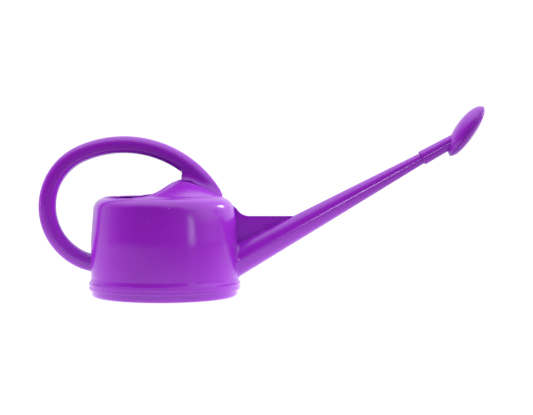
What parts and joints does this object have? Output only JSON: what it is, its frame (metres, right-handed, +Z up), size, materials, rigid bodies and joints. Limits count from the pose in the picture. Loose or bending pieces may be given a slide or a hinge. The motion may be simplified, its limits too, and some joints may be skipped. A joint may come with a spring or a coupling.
{
  "type": "watering can",
  "caption": "Long-reach plastic watering can with a round tank, hooded filling mouth, looped handle, long tapered spout and an oval rose that turns.",
  "frame": {"origin": "centre of the base's underside, on the surface that the can stands on", "axes": "+X towards the spout and rose, +Z up, the can is symmetric about the XZ plane"},
  "size_m": [0.6685, 0.2272, 0.2852],
  "materials": {
    "purple_plastic": "semi-gloss injection-moulded polypropylene, purple all through"
  },
  "bodies": {
    "can": {"tank_shell": "purple_plastic", "base_pan": "purple_plastic", "handle": "purple_plastic", "spout": "purple_plastic", "spout_gusset": "purple_plastic"},
    "rose": {"rose_back": "purple_plastic", "rose_face": "purple_plastic"}
  },
  "joints": [
    {"name": "rose_turn", "type": "hinge", "parent": "can", "child": "rose", "pos_m": [0.41353, 0, 0.22257], "axis": [0.8743, 0, 0.4854], "continuous": true}
  ]
}
